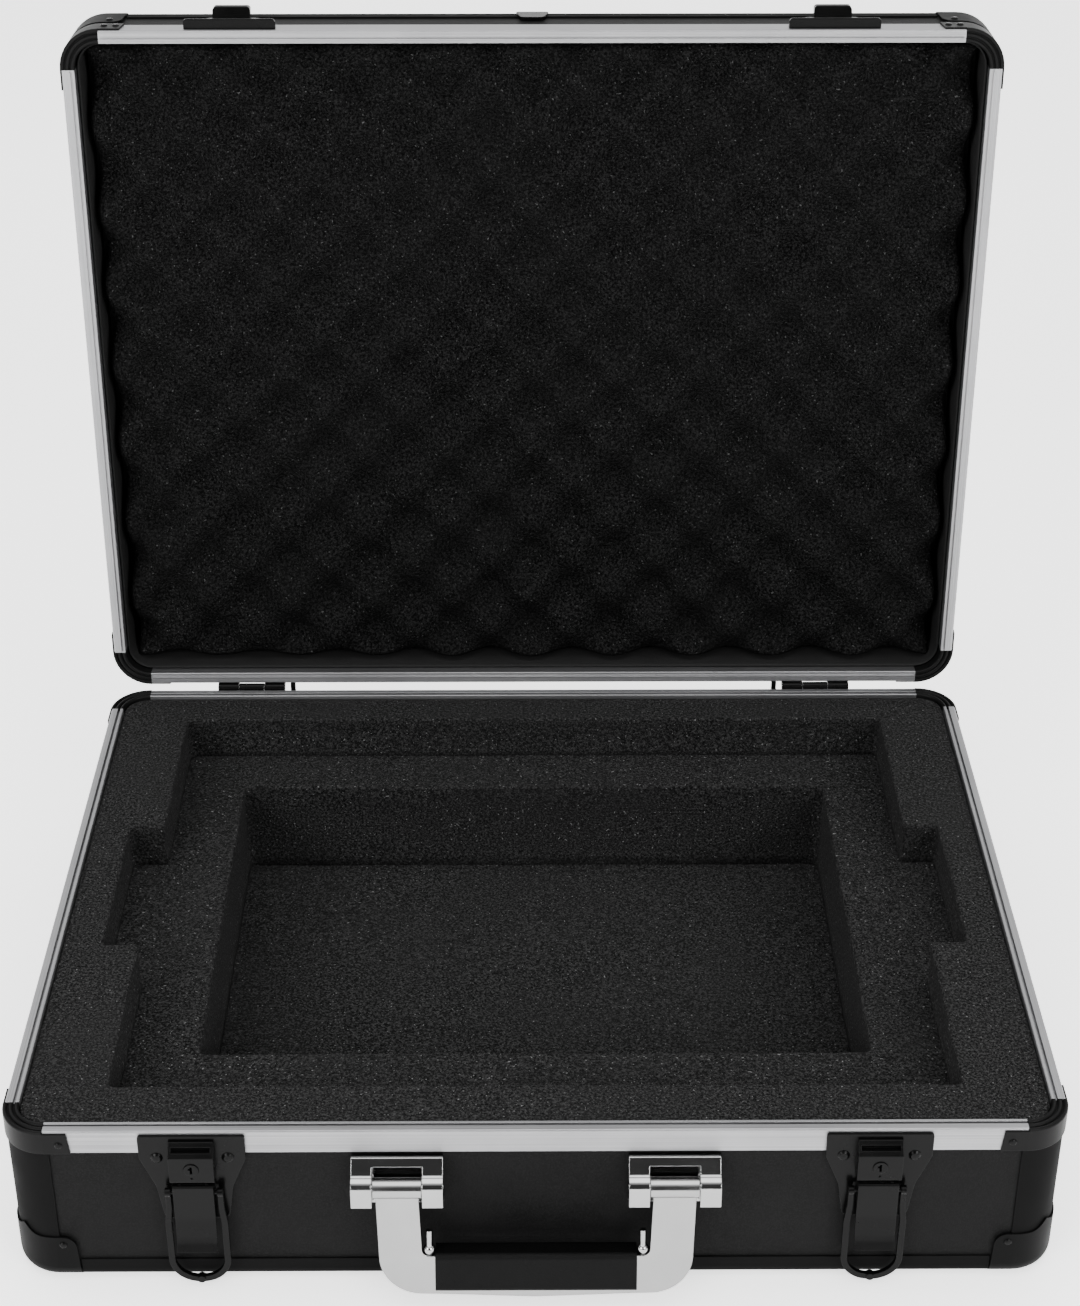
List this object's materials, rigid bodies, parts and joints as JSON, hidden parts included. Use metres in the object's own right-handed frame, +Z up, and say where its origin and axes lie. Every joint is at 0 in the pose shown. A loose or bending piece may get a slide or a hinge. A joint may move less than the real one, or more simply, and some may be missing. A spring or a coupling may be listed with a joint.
{
  "type": "attache case",
  "caption": "Aluminium-rimmed hard attache case with foam-lined base and lid, rear hinges, lockable lever latches with loops, and a swinging carry handle.",
  "frame": {"origin": "centre of the open case's bounding box, on the surface that its ball corners stand on", "axes": "+X to the right seen from the latch side, +Y towards the hinges, +Z up; the lid stands open"},
  "size_m": [0.5298, 0.5044, 0.5197],
  "materials": {
    "black_laminate": "matt, fine-grained laminate",
    "black_enamel": "satin black",
    "brushed_aluminium": "satin, fine lengthwise lines",
    "black_moulding": "satin",
    "chrome": "polished",
    "black_steel": "satin black",
    "steel": "satin",
    "base_foam": "open-cell foam, grainy",
    "lid_foam": "convoluted open-cell foam",
    "lining": "matt lining",
    "grip_rubber": "soft satin"
  },
  "bodies": {
    "base": {"base_floor_panel": "black_laminate", "base_front_panel": "black_laminate", "base_right_panel": "black_laminate", "base_rear_panel": "black_laminate", "base_left_panel": "black_laminate", "base_rim_front": "brushed_aluminium", "base_rim_right": "brushed_aluminium", "base_rim_rear": "brushed_aluminium", "base_rim_left": "brushed_aluminium", "base_edge_strips": "black_enamel", "base_corner_posts": "black_enamel", "base_ball_corners": "black_steel", "base_rim_corners": "black_moulding", "base_rivets": "black_steel", "foam_tray": "base_foam", "foam_well": "base_foam", "foam_floor_pad": "base_foam", "latch_plate_left": "black_steel", "latch_plate_right": "black_steel", "lock_body_left": "black_steel", "lock_body_right": "black_steel", "latch_lever_pins": "black_steel", "latch_rivets": "black_steel", "handle_brackets": "chrome", "handle_pins": "chrome", "hinge_base_leaves": "black_steel", "hinge_pins": "steel", "lid_stop_posts": "black_steel"},
    "lid": {"lid_top_panel": "black_laminate", "lid_front_panel": "black_laminate", "lid_right_panel": "black_laminate", "lid_rear_panel": "black_laminate", "lid_left_panel": "black_laminate", "lid_rim_front": "brushed_aluminium", "lid_rim_right": "brushed_aluminium", "lid_rim_rear": "brushed_aluminium", "lid_rim_left": "brushed_aluminium", "lid_edge_strips": "black_enamel", "lid_corner_posts": "black_enamel", "lid_ball_corners": "black_steel", "lid_rim_corners": "black_moulding", "lid_rivets": "black_steel", "lid_lining": "lining", "lid_foam": "lid_foam", "keepers": "black_steel", "keeper_rivets": "black_steel", "lid_centre_clip": "black_steel", "hinge_lid_leaves": "black_steel"},
    "handle": {"handle_frame": "chrome", "handle_grip": "grip_rubber", "handle_studs": "chrome"},
    "lever_left": {"latch_lever_left": "black_steel", "latch_loop_pin_left": "black_steel"},
    "loop_left": {"latch_loop_left": "black_steel"},
    "plug_left": {"lock_plug_left": "black_steel"},
    "lever_right": {"latch_lever_right": "black_steel", "latch_loop_pin_right": "black_steel"},
    "loop_right": {"latch_loop_right": "black_steel"},
    "plug_right": {"lock_plug_right": "black_steel"}
  },
  "joints": [
    {"name": "lid_hinge", "type": "hinge", "parent": "base", "child": "lid", "pos_m": [0, 0.1848, 0.0982], "axis": [1, 0, 0], "range_deg": [0, 93]},
    {"name": "handle_swing", "type": "hinge", "parent": "base", "child": "handle", "pos_m": [0, -0.237, 0.0683], "axis": [1, 0, 0], "range_deg": [-95, 0]},
    {"name": "lever_left_swing", "type": "hinge", "parent": "base", "child": "lever_left", "pos_m": [-0.1685, -0.2336, 0.0676], "axis": [-1, 0, 0], "range_deg": [0, 85]},
    {"name": "loop_left_swing", "type": "hinge", "parent": "lever_left", "child": "loop_left", "pos_m": [-0.1685, -0.2342, 0.0634], "axis": [1, 0, 0], "range_deg": [-175, 0]},
    {"name": "key_left_turn", "type": "hinge", "parent": "base", "child": "plug_left", "pos_m": [-0.1685, -0.2343, 0.0803], "axis": [0, 1, 0], "range_deg": [0, 90]},
    {"name": "lever_right_swing", "type": "hinge", "parent": "base", "child": "lever_right", "pos_m": [0.1685, -0.2336, 0.0676], "axis": [-1, 0, 0], "range_deg": [0, 85]},
    {"name": "loop_right_swing", "type": "hinge", "parent": "lever_right", "child": "loop_right", "pos_m": [0.1685, -0.2342, 0.0634], "axis": [1, 0, 0], "range_deg": [-175, 0]},
    {"name": "key_right_turn", "type": "hinge", "parent": "base", "child": "plug_right", "pos_m": [0.1685, -0.2343, 0.0803], "axis": [0, 1, 0], "range_deg": [0, 90]}
  ]
}
